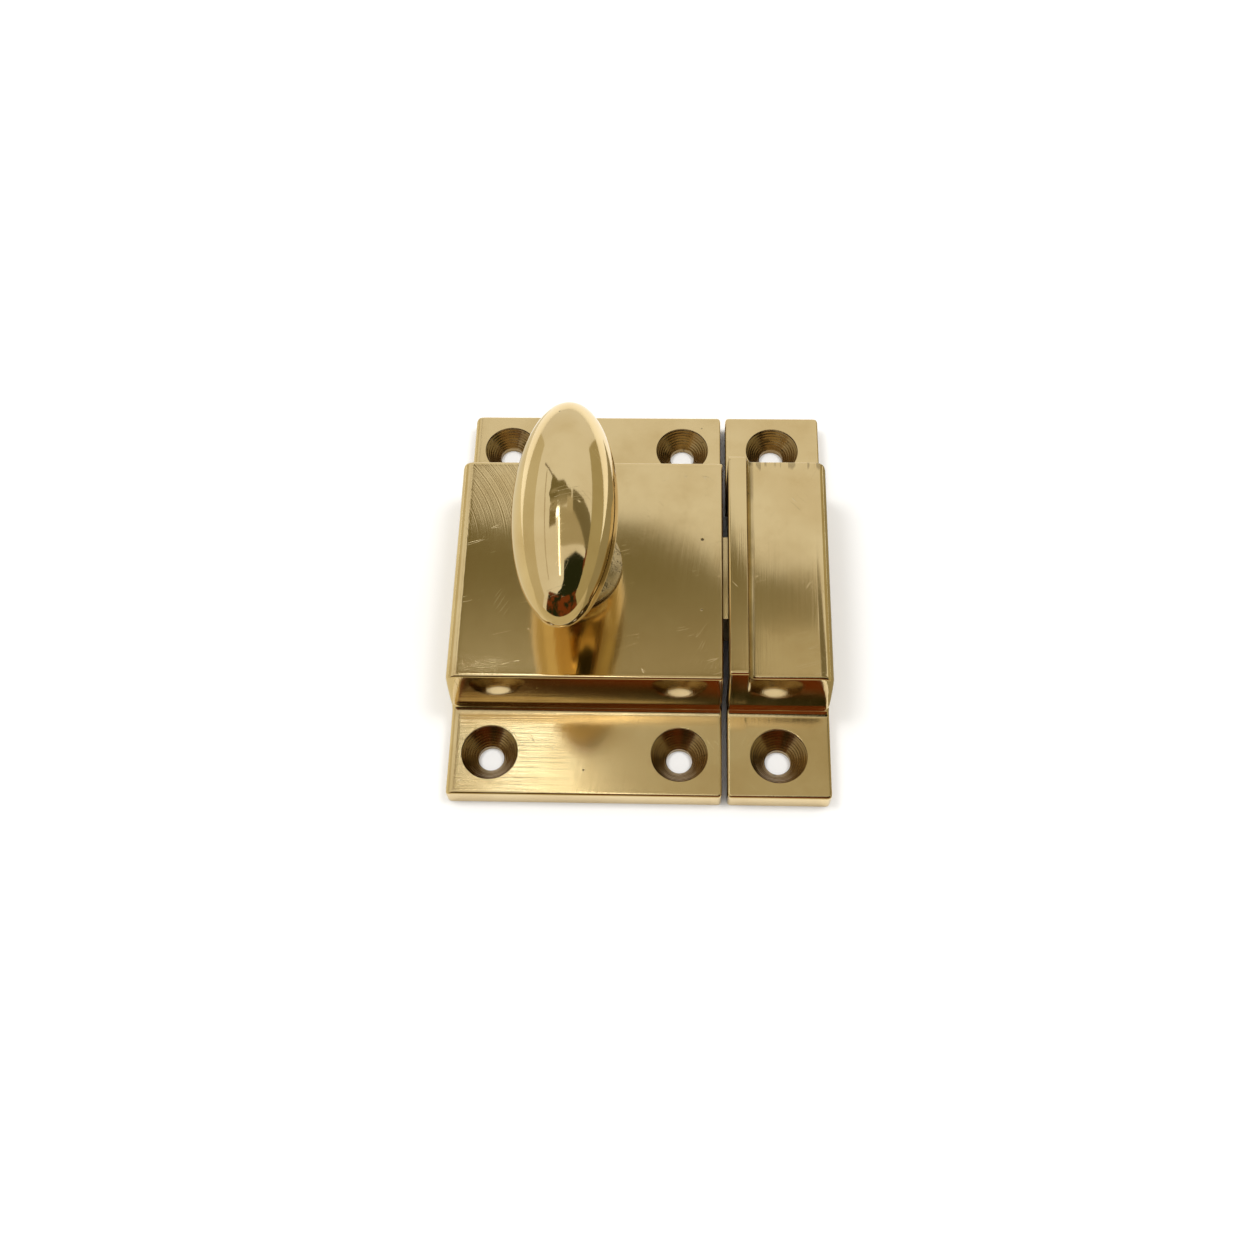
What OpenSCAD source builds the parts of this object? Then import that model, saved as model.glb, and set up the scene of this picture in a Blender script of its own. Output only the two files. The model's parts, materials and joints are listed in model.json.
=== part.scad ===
// Surface-mounted cupboard turn latch with an oval knob, a sprung sliding bolt and a
// separate keeper. The latch lies on its back: z = 0 is the mounting plane, +Z points
// out of the door, +X points from the case to the keeper, and the origin is the centre
// of the four screw holes of the case.

/* [Case] */
// Width of the case, across the bolt's travel
case_w = 39; // [36:0.5:60]
// Length of the case over both screw ears
case_len = 63.5; // [62:0.5:90]
// Height of the case's face above the mounting plane
case_h = 12.1; // [12:0.1:18]
// Length of each screw ear
ear_len = 14.05; // [12:0.05:14.5]
// Thickness of the screw ears
ear_t = 3.5; // [3.2:0.1:5]
// Thickness of the case's side walls
wall = 2.4; // [1.8:0.1:3]
// Thickness of the case's face
face_t = 2.2; // [1.8:0.1:2.4]
// Radius of the long outer edges of the case and the keeper
edge_r = 2.4; // [0.5:0.1:3]
// Radius of the hollow where an ear meets an end wall
root_r = 1.2; // [0.4:0.1:2]
// How much further out an end wall stands at its foot than at the face
draft = 1; // [0.2:0.1:2]
// Radius of the corners of the ears
corner_r = 0.6; // [0.2:0.1:2]

/* [Screw holes] */
// Diameter of the screw holes
hole_d = 3.7; // [3:0.1:4.5]
// Diameter of the countersinks
csk_d = 8.2; // [7:0.1:9.5]
// Depth of the straight land above each countersink's cone
csk_land = 0.45; // [0:0.05:0.8]
// Distance from the case's sides to the hole centres
hole_inset_x = 6; // [5:0.1:9]
// Distance from the ears' ends to the hole centres
hole_inset_y = 6.2; // [5:0.1:8]

/* [Knob] */
// Length of the oval grip
knob_len = 34.2; // [24:0.1:44]
// Diameter of the oval grip at its middle
knob_d = 14.4; // [12:0.1:18]
// Height of the grip's centre line above the case's face
knob_rise = 15.3; // [12:0.1:24]
// Diameter of the neck's flared foot
foot_d = 14.6; // [12:0.1:18]
// Diameter of the neck's waist
waist_d = 8.6; // [8:0.1:10]
// Distance of the spindle from the middle of the case, away from the keeper
spindle_shift = 2.3; // [0:0.1:4]

/* [Spindle] */
// Diameter of the spindle where it turns in the case's face
journal_d = 7; // [5:0.1:7.4]
// Diameter of the spindle's tenon inside the knob
tenon_d = 6; // [4:0.1:6.4]
// Diameter of the spindle's lower end in the back plate
pivot_d = 4.4; // [3:0.1:5]
// Radius from the spindle to the drive pin
crank_r = 8; // [6:0.1:8.4]
// Diameter of the drive pin
pin_d = 3.2; // [2.4:0.1:3.6]
// Full turn of the knob, in degrees
knob_turn = 60; // [40:1:64]
// Thickness of the cam lever
lever_t = 1.5; // [1:0.1:1.8]
// Thickness of the washer above the cam lever
washer_t = 0.5; // [0.3:0.1:0.6]

/* [Bolt] */
// Width of the bolt's head
bolt_w = 13.5; // [10:0.1:17]
// Thickness of the bolt's head
bolt_t = 7.4; // [6:0.1:7.6]
// Thickness of the bolt's slotted tail
tail_t = 5; // [3:0.1:5.2]
// Least width of metal around the bolt's slots
web = 2.1; // [1.5:0.1:2.6]
// Height of the flat nose at the tip of the bevel
nose_h = 2.4; // [1:0.1:4]
// Length of the bevel on the bolt's back
bevel_len = 5.2; // [3:0.1:7]

/* [Spring] */
// Outer diameter of the spring's coils
coil_d = 5; // [4:0.1:5.2]
// Diameter of the spring's wire
wire_d = 0.6; // [0.4:0.05:0.7]
// Number of turns in the spring
turns = 9; // [5:1:11]
// Diameter of the guide rod inside the spring
rod_d = 2.4; // [1.5:0.1:2.8]

/* [Back plate] */
// Thickness of the back plate
plate_t = 1.2; // [0.8:0.1:1.4]
// Width of the ledge that the back plate rests on
ledge = 1.1; // [0.6:0.1:1.3]
// Diameter of the two small screws that hold the back plate
plate_screw_d = 2; // [1.6:0.1:2.4]

/* [Keeper] */
// Width of the keeper
keeper_w = 14.6; // [13:0.1:22]
// Height of the keeper's broad face above the mounting plane
keeper_h = 12.65; // [12.3:0.05:18]
// Height of the lip above the keeper's broad face
lip_h = 1.45; // [0.5:0.05:3]
// Width of the lip's flat top
lip_w = 2.65; // [1.5:0.05:4]
// Gap between the case and the keeper
door_gap = 0.8; // [0.5:0.1:3]
// Thickness of the keeper's walls
keeper_wall = 2.2; // [1.6:0.1:2.6]

/* [Hidden] */
// running is the radial clearance of a shaft in its bore, slip is the gap beside a flat
// sliding face, and play is the gap around the drive pin, which evens out the crank.
running = 0.05;
slip = 0.2;
play = 0.25;
knob_gap = 0.15;
eps = 0.01;
cut = 1;

// Case, cavity and ears
body_len = case_len - 2*ear_len;
cav_x = case_w/2 - wall;
cav_y = body_len/2 - wall;
cav_h = case_h - face_t;
hole_x = case_w/2 - hole_inset_x;
hole_y = case_len/2 - hole_inset_y;
spindle_x = -spindle_shift;

// Heights inside the cavity, from the face down to the back plate
washer_z = cav_h - 0.1 - washer_t;
lever_z = washer_z - 0.1 - lever_t;
bolt_z = plate_t + 2*slip;
tail_top = bolt_z + tail_t;
mouth_top = bolt_z + bolt_t + slip;

// Crank: the drive pin swings evenly either side of straight down
half_turn = knob_turn/2;
throw = 2*crank_r*sin(half_turn);
pin_x = spindle_x + crank_r*sin(half_turn);
pin_y = -crank_r*cos(half_turn);
crank_angle = -90 + half_turn;

// Spindle: the square for the lever stays just inside the round of the journal
square_w = journal_d/sqrt(2) - 0.1;

// Bolt: places at rest, with the head thrown
mouth_x = case_w/2;
tip_x = mouth_x + throw;
head_x = mouth_x - wall - 3.6;
pivot_slot_r = pivot_d/2 + play;
pin_slot_r = pin_d/2 + play;
bar_x = spindle_x - pivot_slot_r - web;
bar_w = 2*(pivot_slot_r + web);
yoke_y = -(crank_r + pin_slot_r + web);
lug_x = pin_x + pin_slot_r - 1.6;
lug_t = 3.2;

// Spring and rod
spring_y = cav_y - slip - coil_d/2 - 1.9;
spring_z = bolt_z + tail_t/2 + 0.2;
spring_x0 = -cav_x + 0.05;
spring_x1 = lug_x - 0.05;
rod_seat = 1.2;
rod_len = (spring_x1 - spring_x0 - throw)*0.62;
stud_len = (spring_x1 - spring_x0 - throw)*0.22;

// Back plate screws sit in two posts at opposite corners of the cavity
post_r = plate_screw_d/2 + 1.4;
post_x = cav_x - post_r + 0.4;
post_y = cav_y - post_r + 0.4;
screw_head_r = plate_screw_d;
screw_len = 5.2;

// Keeper
keeper_x0 = case_w/2 + door_gap;
keeper_x1 = keeper_x0 + keeper_w;
keeper_hole_x = keeper_x0 + keeper_w/2 - 0.05;
lip_top = keeper_h + lip_h;
pocket_top = mouth_top + 0.5;
pocket_y = body_len/2 - keeper_wall;

BRASS = [0.80, 0.68, 0.42];
DARK_BRASS = [0.62, 0.50, 0.28];
STEEL = [0.62, 0.63, 0.65];

$fn = 64;

// Points on an arc round c, from angle a0 to a1
function arc(c, r, a0, a1, n = 12) =
    [for (i = [0:n]) c + r*[cos(a0 + (a1 - a0)*i/n), sin(a0 + (a1 - a0)*i/n)]];

// Extrudes an outline drawn in (x, z) along Y, evenly about y = 0
module along_y(len) {
    rotate([90, 0, 0]) linear_extrude(len, center = true) children();
}

// Extrudes an outline drawn in (y, z) along X, from x0 to x1
module along_x(x0, x1) {
    translate([x0, 0, 0]) rotate([90, 0, 90]) linear_extrude(x1 - x0) children();
}

// Rectangle with round corners, made of plain shapes so that it stays exact
module round_rect(w, l, r) {
    square([w - 2*r, l], center = true);
    square([w, l - 2*r], center = true);
    for (x = [-1, 1], y = [-1, 1]) translate([x*(w/2 - r), y*(l/2 - r)]) circle(r);
}

// Slot that runs along X from x0 to x1, with round ends of radius r
module slot_x(x0, x1, r) {
    translate([x0, -r]) square([x1 - x0, 2*r]);
    for (x = [x0, x1]) translate([x, 0]) circle(r);
}

// Side view of an eared casting: ears, raised middle whose ends lean in, and their hollows
module eared_side(top) {
    half = body_len/2;
    foot = half + draft;
    lean = atan(draft/(top - ear_t));
    reach = root_r*tan(45 - lean/2);
    meet = [foot - reach*sin(lean), ear_t + reach*cos(lean)];
    translate([-case_len/2, 0]) square([case_len, ear_t]);
    polygon([[-foot, 0], [foot, 0], [foot, ear_t], [half, top], [-half, top], [-foot, ear_t]]);
    for (s = [0, 1]) mirror([s, 0]) difference() {
        polygon([[half - 1, ear_t - eps], [foot + reach, ear_t - eps],
            [foot + reach, ear_t + root_r], meet, [half - 1, meet[1]]]);
        translate([foot + reach, ear_t + root_r]) circle(root_r);
    }
}

// Countersunk screw hole, cut down from the top of an ear
module screw_hole() {
    cone_h = (csk_d - hole_d)/2;
    translate([0, 0, -cut]) cylinder(d = hole_d, h = ear_t + 2*cut);
    translate([0, 0, ear_t - csk_land]) cylinder(d = csk_d, h = csk_land + cut);
    translate([0, 0, ear_t - csk_land - cone_h])
        cylinder(d1 = hole_d, d2 = csk_d, h = cone_h);
}

// Cast case: hollow box open at the back, with two ears and the bolt's mouth
module case_body() {
    color(BRASS) difference() {
        intersection() {
            along_x(-case_w/2, case_w/2) eared_side(case_h);
            along_y(case_len + 2*cut) polygon(concat(
                [[case_w/2, -cut], [case_w/2, case_h], [-case_w/2 + edge_r, case_h]],
                arc([-case_w/2 + edge_r, case_h - edge_r], edge_r, 90, 180),
                [[-case_w/2, -cut]]));
            linear_extrude(case_h + cut) round_rect(case_w, case_len, corner_r);
        }
        difference() {
            translate([-cav_x, -cav_y, -cut]) cube([2*cav_x, 2*cav_y, cav_h + cut]);
            for (s = [-1, 1]) translate([s*post_x, s*post_y, plate_t]) cylinder(r = post_r, h = cav_h);
        }
        translate([-cav_x - ledge, -cav_y - ledge, -cut])
            cube([2*(cav_x + ledge), 2*(cav_y + ledge), plate_t + cut]);
        translate([cav_x - eps, -bolt_w/2 - slip, plate_t + slip])
            cube([wall + cut, bolt_w + 2*slip, mouth_top - plate_t - slip]);
        translate([spindle_x, 0, cav_h - cut])
            cylinder(r = journal_d/2 + running, h = face_t + 2*cut);
        translate([-cav_x - rod_seat, spring_y, spring_z]) rotate([0, 90, 0])
            cylinder(d = rod_d, h = rod_seat + cut);
        for (s = [-1, 1]) translate([s*post_x, s*post_y, 0])
            cylinder(d = plate_screw_d, h = screw_len + 0.3);
        for (x = [-1, 1], y = [-1, 1]) translate([x*hole_x, y*hole_y, 0]) screw_hole();
    }
}

// Flush back plate, which closes the cavity and carries the spindle's lower end
module back_plate() {
    color(DARK_BRASS) difference() {
        translate([0, 0, plate_t/2])
            cube([2*(cav_x + ledge - 0.05), 2*(cav_y + ledge - 0.05), plate_t], center = true);
        translate([spindle_x, 0, -cut]) cylinder(r = pivot_d/2 + running, h = plate_t + 2*cut);
        for (s = [-1, 1]) translate([s*post_x, s*post_y, 0]) {
            translate([0, 0, -cut]) cylinder(r = plate_screw_d/2 + 0.1, h = plate_t + 2*cut);
            translate([0, 0, -eps])
                cylinder(r1 = screw_head_r + eps, r2 = plate_screw_d/2, h = plate_screw_d/2 + eps);
        }
    }
}

// Two countersunk screws of the back plate, each with a straight drive slot
module plate_screws() {
    head_h = screw_head_r - plate_screw_d/2;
    color(STEEL) for (s = [-1, 1]) translate([s*post_x, s*post_y, 0]) difference() {
        union() {
            translate([0, 0, 0.05])
                cylinder(r1 = screw_head_r - 0.1, r2 = plate_screw_d/2, h = head_h - 0.1);
            translate([0, 0, head_h - 0.1]) cylinder(d = plate_screw_d, h = screw_len - head_h);
        }
        translate([0, 0, 0.2]) cube([4*screw_head_r, 0.5, 0.5], center = true);
    }
}

// Cast knob: an oval grip lying along Y on a waisted neck with a flared foot
module knob() {
    foot_z = case_h + knob_gap;
    centre_z = case_h + knob_rise;
    flare_r = (foot_d - waist_d)/2;
    rim_h = 0.5;
    join_z = centre_z - knob_d/4;
    tenon_top = centre_z - knob_d/2 + 1;
    color(BRASS) translate([spindle_x, 0, 0]) difference() {
        union() {
            rotate_extrude() polygon(concat(
                [[0, foot_z], [foot_d/2, foot_z], [foot_d/2, foot_z + rim_h]],
                arc([foot_d/2, foot_z + rim_h + flare_r], flare_r, 270, 180),
                [[waist_d/2, join_z], [0, join_z]]));
            translate([0, 0, centre_z]) rotate([90, 0, 0]) rotate_extrude()
                polygon([for (a = [-90:5:90]) [knob_d/2*cos(a), knob_len/2*sin(a)]]);
        }
        translate([0, 0, foot_z - cut]) cylinder(d = tenon_d, h = tenon_top - foot_z + cut);
    }
}

// Spindle: tenon in the knob, journal in the face, square for the lever, lower pivot
module spindle() {
    shoulder_z = case_h + knob_gap;
    tenon_top = case_h + knob_rise - knob_d/2 + 1;
    color(STEEL) translate([spindle_x, 0, 0]) {
        translate([0, 0, washer_z - 0.1]) cylinder(d = journal_d, h = shoulder_z - washer_z + 0.1);
        translate([0, 0, shoulder_z - eps]) cylinder(d = tenon_d, h = tenon_top - shoulder_z + eps);
        translate([0, 0, lever_z + lever_t/2])
            cube([square_w, square_w, lever_t + 2*eps], center = true);
        translate([0, 0, 0.1]) cylinder(d = pivot_d, h = lever_z - 0.1);
    }
}

// Cam lever: a tapered arm on the spindle's square, with the drive pin at its end
module cam_lever() {
    hub_r = journal_d/2 + 1.5;
    end_r = pin_d/2 + 1.3;
    lean = acos((hub_r - end_r)/crank_r);
    color(DARK_BRASS) translate([spindle_x, 0, lever_z]) difference() {
        rotate([0, 0, crank_angle]) linear_extrude(lever_t) {
            circle(hub_r);
            translate([crank_r, 0]) circle(end_r);
            polygon([for (s = [-1, 1], e = s > 0 ? [1, 0] : [0, 1])
                [e*crank_r, 0] + (e > 0 ? end_r : hub_r)*[cos(lean), s*sin(lean)]]);
        }
        translate([0, 0, lever_t/2]) cube([square_w, square_w, 2*lever_t], center = true);
        rotate([0, 0, crank_angle]) translate([crank_r, 0, -cut])
            cylinder(d = pin_d, h = lever_t + 2*cut);
    }
}

// Drive pin, riveted in the lever and reaching down through the bolt's cross slot
module cam_pin() {
    color(STEEL) translate([pin_x, pin_y, bolt_z + 0.4])
        cylinder(d = pin_d, h = lever_z + lever_t - bolt_z - 0.4);
}

// Washer between the lever and the inside of the case's face
module cam_washer() {
    color(STEEL) translate([spindle_x, 0, washer_z]) difference() {
        cylinder(r = journal_d/2 + 2, h = washer_t);
        translate([0, 0, -cut]) cylinder(r = journal_d/2 + running, h = washer_t + 2*cut);
    }
}

// Sliding bolt: bevelled head, slotted tail, cross slot for the pin and spring lug
module bolt() {
    head_top = bolt_z + bolt_t;
    color(BRASS) difference() {
        union() {
            along_y(bolt_w) polygon([[head_x, bolt_z], [tip_x - bevel_len, bolt_z],
                [tip_x, head_top - nose_h], [tip_x, head_top - 0.4], [tip_x - 0.4, head_top],
                [head_x, head_top]]);
            translate([0, 0, bolt_z]) linear_extrude(tail_t) {
                translate([bar_x, -bar_w/2]) square([head_x - bar_x + eps, bar_w]);
                translate([pin_x - pin_slot_r - web, yoke_y])
                    square([2*(pin_slot_r + web), -yoke_y]);
                translate([lug_x, 0]) square([lug_t, spring_y + coil_d/2]);
            }
            translate([lug_x - stud_len, spring_y, spring_z]) rotate([0, 90, 0])
                cylinder(d = rod_d, h = stud_len + eps);
        }
        translate([0, 0, bolt_z - cut]) linear_extrude(tail_t + 2*cut) {
            slot_x(spindle_x, spindle_x + throw, pivot_slot_r);
            translate([pin_x, 0]) rotate(90) slot_x(-crank_r, pin_y, pin_slot_r);
        }
    }
}

// Guide rod, pressed into the case's wall, that keeps the spring straight
module spring_rod() {
    color(STEEL) translate([-cav_x - rod_seat, spring_y, spring_z]) rotate([0, 90, 0])
        cylinder(d = rod_d, h = rod_seat + rod_len);
}

// Compression spring: a round wire swept along a helix, with closed end turns
module bolt_spring() {
    sides = 8;
    steps = 16;
    rings = turns*steps;
    mean_r = (coil_d - wire_d)/2;
    x_start = spring_x0 + wire_d/2;
    travel = spring_x1 - spring_x0 - wire_d;
    closed = wire_d*1.05;
    // Distance along the axis after t turns: the first and last turns lie closed
    function advance(t) = t < 1 ? closed*t
        : t > turns - 1 ? travel - closed*(turns - t)
        : closed + (travel - 2*closed)*(t - 1)/(turns - 2);
    points = [for (i = [0:rings]) let (t = i/steps, a = 360*t, x = x_start + advance(t))
        for (j = [0:sides - 1]) let (b = 360*j/sides, r = mean_r + wire_d/2*cos(b))
            [x + wire_d/2*sin(b), spring_y + r*cos(a), spring_z + r*sin(a)]];
    skin = [for (i = [0:rings - 1], j = [0:sides - 1]) let (k = (j + 1) % sides)
        [i*sides + j, i*sides + k, (i + 1)*sides + k, (i + 1)*sides + j]];
    start_cap = [[for (j = [sides - 1:-1:0]) j]];
    end_cap = [[for (j = [0:sides - 1]) rings*sides + j]];
    color(STEEL) polyhedron(points, concat(skin, start_cap, end_cap));
}

// Cast keeper: eared box, open towards the case, with a raised lip along its open side
module keeper() {
    step_r = lip_h*0.7;
    lip_x1 = keeper_x0 + lip_w;
    color(BRASS) difference() {
        intersection() {
            along_x(keeper_x0, keeper_x1) eared_side(lip_top);
            along_y(case_len + 2*cut) polygon(concat(
                [[keeper_x0, -cut], [keeper_x0, lip_top]],
                arc([lip_x1, lip_top - step_r], step_r, 90, 0, 6),
                [[lip_x1 + step_r, keeper_h], [keeper_x1 - edge_r, keeper_h]],
                arc([keeper_x1 - edge_r, keeper_h - edge_r], edge_r, 90, 0),
                [[keeper_x1, -cut]]));
            translate([(keeper_x0 + keeper_x1)/2, 0]) linear_extrude(lip_top + cut)
                round_rect(keeper_w, case_len, corner_r);
        }
        translate([keeper_x0 - cut, -pocket_y, -cut])
            cube([keeper_w - keeper_wall + cut, 2*pocket_y, pocket_top + cut]);
        for (y = [-1, 1]) translate([keeper_hole_x, y*hole_y, 0]) screw_hole();
    }
}

case_body();
back_plate();
plate_screws();
knob();
spindle();
cam_lever();
cam_pin();
cam_washer();
bolt();
spring_rod();
bolt_spring();
keeper();
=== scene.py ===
"""Cast-brass cupboard turn latch: the finish of its castings, bolt, back plate and inner works."""

import json
import math

import bmesh
import bpy
import numpy as np
from bpy.props import FloatProperty, FloatVectorProperty, IntProperty, PointerProperty
from mathutils import Matrix, Vector


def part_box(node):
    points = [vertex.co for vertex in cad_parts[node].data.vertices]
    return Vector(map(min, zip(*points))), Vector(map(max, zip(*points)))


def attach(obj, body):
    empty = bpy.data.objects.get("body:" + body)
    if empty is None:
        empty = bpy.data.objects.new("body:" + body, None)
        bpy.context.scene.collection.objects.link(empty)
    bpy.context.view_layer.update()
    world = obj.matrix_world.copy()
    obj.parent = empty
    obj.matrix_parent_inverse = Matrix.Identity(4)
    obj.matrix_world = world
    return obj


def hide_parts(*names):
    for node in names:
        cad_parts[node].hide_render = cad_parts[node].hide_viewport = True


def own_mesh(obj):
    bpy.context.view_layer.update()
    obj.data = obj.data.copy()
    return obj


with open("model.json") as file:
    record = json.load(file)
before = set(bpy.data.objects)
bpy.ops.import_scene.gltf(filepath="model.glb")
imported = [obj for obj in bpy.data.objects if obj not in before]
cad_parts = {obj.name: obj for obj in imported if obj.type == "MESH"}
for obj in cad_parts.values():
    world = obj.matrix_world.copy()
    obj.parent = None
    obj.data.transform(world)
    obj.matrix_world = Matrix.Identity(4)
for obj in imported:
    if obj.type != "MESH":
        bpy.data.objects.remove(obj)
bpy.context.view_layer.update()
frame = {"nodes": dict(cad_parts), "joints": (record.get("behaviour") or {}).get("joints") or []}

bl_info = {
    "name": "Cupboard turn latch",
    "version": (1, 0, 0),
    "blender": (4, 5, 0),
    "location": "View3D > Sidebar > Latch",
    "description": "Builds a polished brass cupboard turn latch around its packed frame",
    "category": "Object",
}

MM = 0.001
CASE_LO, CASE_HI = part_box("case_body")
KEEPER_LO, KEEPER_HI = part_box("keeper")
KNOB_LO, KNOB_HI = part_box("knob")
BOLT_LO, BOLT_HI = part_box("bolt")
PLATE_LO, PLATE_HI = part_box("back_plate")
SPINDLE_LO, SPINDLE_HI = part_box("spindle")
SPRING_LO, SPRING_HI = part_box("bolt_spring")
SPINDLE_X = (SPINDLE_LO[0] + SPINDLE_HI[0])/2


# ---------------------------------------------------------------- sizes and colours

def length(name, description, default_mm, low=0.0, high=100.0):
    """A length property in metres, with its default given in millimetres."""
    return FloatProperty(name=name, description=description, default=default_mm*MM,
                         min=low*MM, max=high*MM, unit="LENGTH", precision=5)


def tint(name, description, default):
    """A linear colour property."""
    return FloatVectorProperty(name=name, description=description, default=default,
                               subtype="COLOR", size=3, min=0.0, max=1.0)


def number(name, description, default, low=0.0, high=1.0):
    """A plain number property."""
    return FloatProperty(name=name, description=description, default=default, min=low, max=high)


class LatchCasting(bpy.types.PropertyGroup):
    """Sizes that the case and the keeper share."""
    ear_t: length("Ear thickness", "Thickness of the screw ears", 3.5)
    body_len: length("Body length", "Length of the raised middle along Y", 35.4)
    root_r: length("Root radius", "Hollow where an ear meets an end wall", 1.1)
    ear_edge: length("Ear edge", "Buffed radius along the ends of the ears", 0.4)
    ear_side: length("Ear side", "Buffed radius along the outer sides of the ears", 1.5)
    face_edge: length("Face edge", "Buffed radius along the ends of the face", 0.42)
    outer_r: length("Outer radius", "Radius of the long outer edge of the face", 2.2)
    corner_r: length("Corner radius", "Radius of the upright outer corners", 0.8)
    ear_corner: length("Ear corner", "Radius of the ears' upright corners", 0.8)
    inner_r: length("Inner radius", "Radius of the long edge beside the gap", 0.32)
    draft: length("Draft", "How far the end walls lean in from foot to face", 1.0)
    crown: length("Crown", "How far the faces fall away towards their edges", 0.14)
    fall: length("Ear fall", "How far an ear falls away towards its end", 0.12)
    wave: length("Waviness", "Height of the low waves left by hand buffing", 0.012)
    wall: length("Case wall", "Thickness of the case's side walls", 2.4)
    face_t: length("Face thickness", "Thickness of the case's face", 2.2)


class LatchHoles(bpy.types.PropertyGroup):
    """Sizes of the countersunk screw holes and the spindle's bore."""
    hole_d: length("Hole", "Diameter of the screw holes", 3.7)
    csk_d: length("Countersink", "Diameter of the countersinks", 8.1)
    land: length("Land", "Straight wall above each cone", 0.45)
    inset_x: length("Inset across", "From the case's side to a hole centre", 6.0)
    inset_y: length("Inset along", "From an ear's end to a hole centre", 6.2)
    rim: length("Rim", "Buffed radius round each countersink", 0.14)
    bore_d: length("Bore", "Diameter of the spindle's bore in the face", 7.1)


class LatchKnob(bpy.types.PropertyGroup):
    """Sizes of the oval grip and its neck."""
    grip_d: length("Grip diameter", "Diameter of the grip at its middle", 14.4)
    waist_d: length("Waist", "Diameter of the neck's waist", 8.6)
    foot_d: length("Foot", "Diameter of the neck's flared foot", 14.6)
    foot_t: length("Foot rim", "Height of the foot's upright rim", 0.5)
    fillet: length("Fillet", "Radius where the neck meets the grip", 1.1)
    bore_d: length("Bore", "Diameter of the bore for the spindle", 6.0)
    dent: length("Dents", "Depth of the small dents in the grip", 0.03)


class LatchKeeper(bpy.types.PropertyGroup):
    """Sizes of the keeper's lip, step and pocket."""
    face_h: length("Broad face", "Height of the broad face above the back", 12.65)
    lip_w: length("Lip", "Width of the lip's flat top", 2.65)
    step_w: length("Step", "Width of the hollow step beside the lip", 0.95)
    pocket_top: length("Pocket", "Height of the pocket that takes the bolt", 9.7)
    pocket_wall: length("Pocket wall", "Thickness of the keeper's walls", 2.2)
    ear_side: length("Ear side", "Buffed radius along the outer sides of the ears", 0.45)


class LatchSpring(bpy.types.PropertyGroup):
    """Sizes of the coil spring."""
    wire_d: length("Wire", "Diameter of the wire", 0.6)
    turns: IntProperty(name="Turns", description="Number of turns", default=9, min=4, max=16)


class LatchFinish(bpy.types.PropertyGroup):
    """Colours and gloss of the brass and the steel."""
    brass: tint("Brass", "Freshly polished brass", (0.80, 0.63, 0.335))
    brass_deep: tint("Aged brass", "Brass in its duller, warmer patches", (0.66, 0.48, 0.215))
    # Machined brass, darkened further as painted shade inside the countersinks
    cone_brass_and_shade: tint("Cut brass", "Machined brass inside the countersinks", (0.36, 0.255, 0.115))
    cast_brass: tint("Cast brass", "Unpolished casting skin", (0.30, 0.205, 0.10))
    # Also the colour of the painted shade in the keeper's step
    tarnish: tint("Tarnish", "Dark deposit in corners and pits", (0.05, 0.032, 0.012))
    steel: tint("Steel", "Bright steel", (0.52, 0.53, 0.55))
    spring: tint("Spring wire", "Drawn spring wire", (0.25, 0.26, 0.28))
    face_gloss: number("Face roughness", "Roughness of the polished faces", 0.085)
    knob_gloss: number("Knob roughness", "Roughness of the knob", 0.065)


class LatchStage(bpy.types.PropertyGroup):
    """Camera, light and surroundings."""
    camera_at: FloatVectorProperty(name="Camera", description="Where the camera stands", size=3,
                                   default=(0.01277, -0.09772, 0.19239), subtype="TRANSLATION")
    tilt: FloatProperty(name="Tilt", description="Camera tilt from straight down",
                        default=math.radians(26.08), subtype="ANGLE")
    turn: FloatProperty(name="Turn", description="Camera turn about +Z",
                        default=math.radians(4.456), subtype="ANGLE")
    roll: FloatProperty(name="Roll", description="Camera roll about its own axis",
                        default=math.radians(-3.357), subtype="ANGLE")
    lens: FloatProperty(name="Lens", description="Focal length in millimetres for a 36 mm sensor",
                        default=40.8, min=10, max=200)
    sky: number("Room light", "Brightness of the pale room", 0.80, high=5)
    lamp_power: number("Lamp power", "Watts of each of the two lamps", 1.9, high=50)
    lamp_size: length("Lamp size", "Diameter of each lamp", 300, high=2000)


# ---------------------------------------------------------------- meshes

def grid_quads(rows, cols, wrap_cols=False):
    """Corner numbers of the quads of a grid whose points are numbered row by row."""
    i = np.arange(rows - 1)[:, None]
    j = np.arange(cols if wrap_cols else cols - 1)[None, :]
    i2, j2 = i + 1, (j + 1) % cols
    quads = np.stack([i*cols + j, i*cols + j2, i2*cols + j2, i2*cols + j], -1)
    return quads.reshape(-1, 4)


def new_piece(name, points, faces, sharp=35):
    """Makes an object from an array of points and a list of faces, with its faces outwards."""
    mesh = bpy.data.meshes.new(name)
    mesh.from_pydata(np.asarray(points).reshape(-1, 3), [], [list(map(int, f)) for f in faces])
    shell = bmesh.new()
    shell.from_mesh(mesh)
    bmesh.ops.remove_doubles(shell, verts=shell.verts, dist=1e-7)
    bmesh.ops.recalc_face_normals(shell, faces=shell.faces)
    shell.to_mesh(mesh)
    shell.free()
    mesh.update()
    piece = bpy.data.objects.new(name, mesh)
    bpy.context.scene.collection.objects.link(piece)
    smooth(piece, sharp)
    return piece


def smooth(piece, sharp=35):
    """Smooth shading, broken where two faces meet at more than sharp degrees."""
    mesh = piece.data
    mesh.polygons.foreach_set("use_smooth", np.ones(len(mesh.polygons), dtype=bool))
    mesh.set_sharp_from_angle(angle=math.radians(sharp))
    mesh.update()


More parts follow.
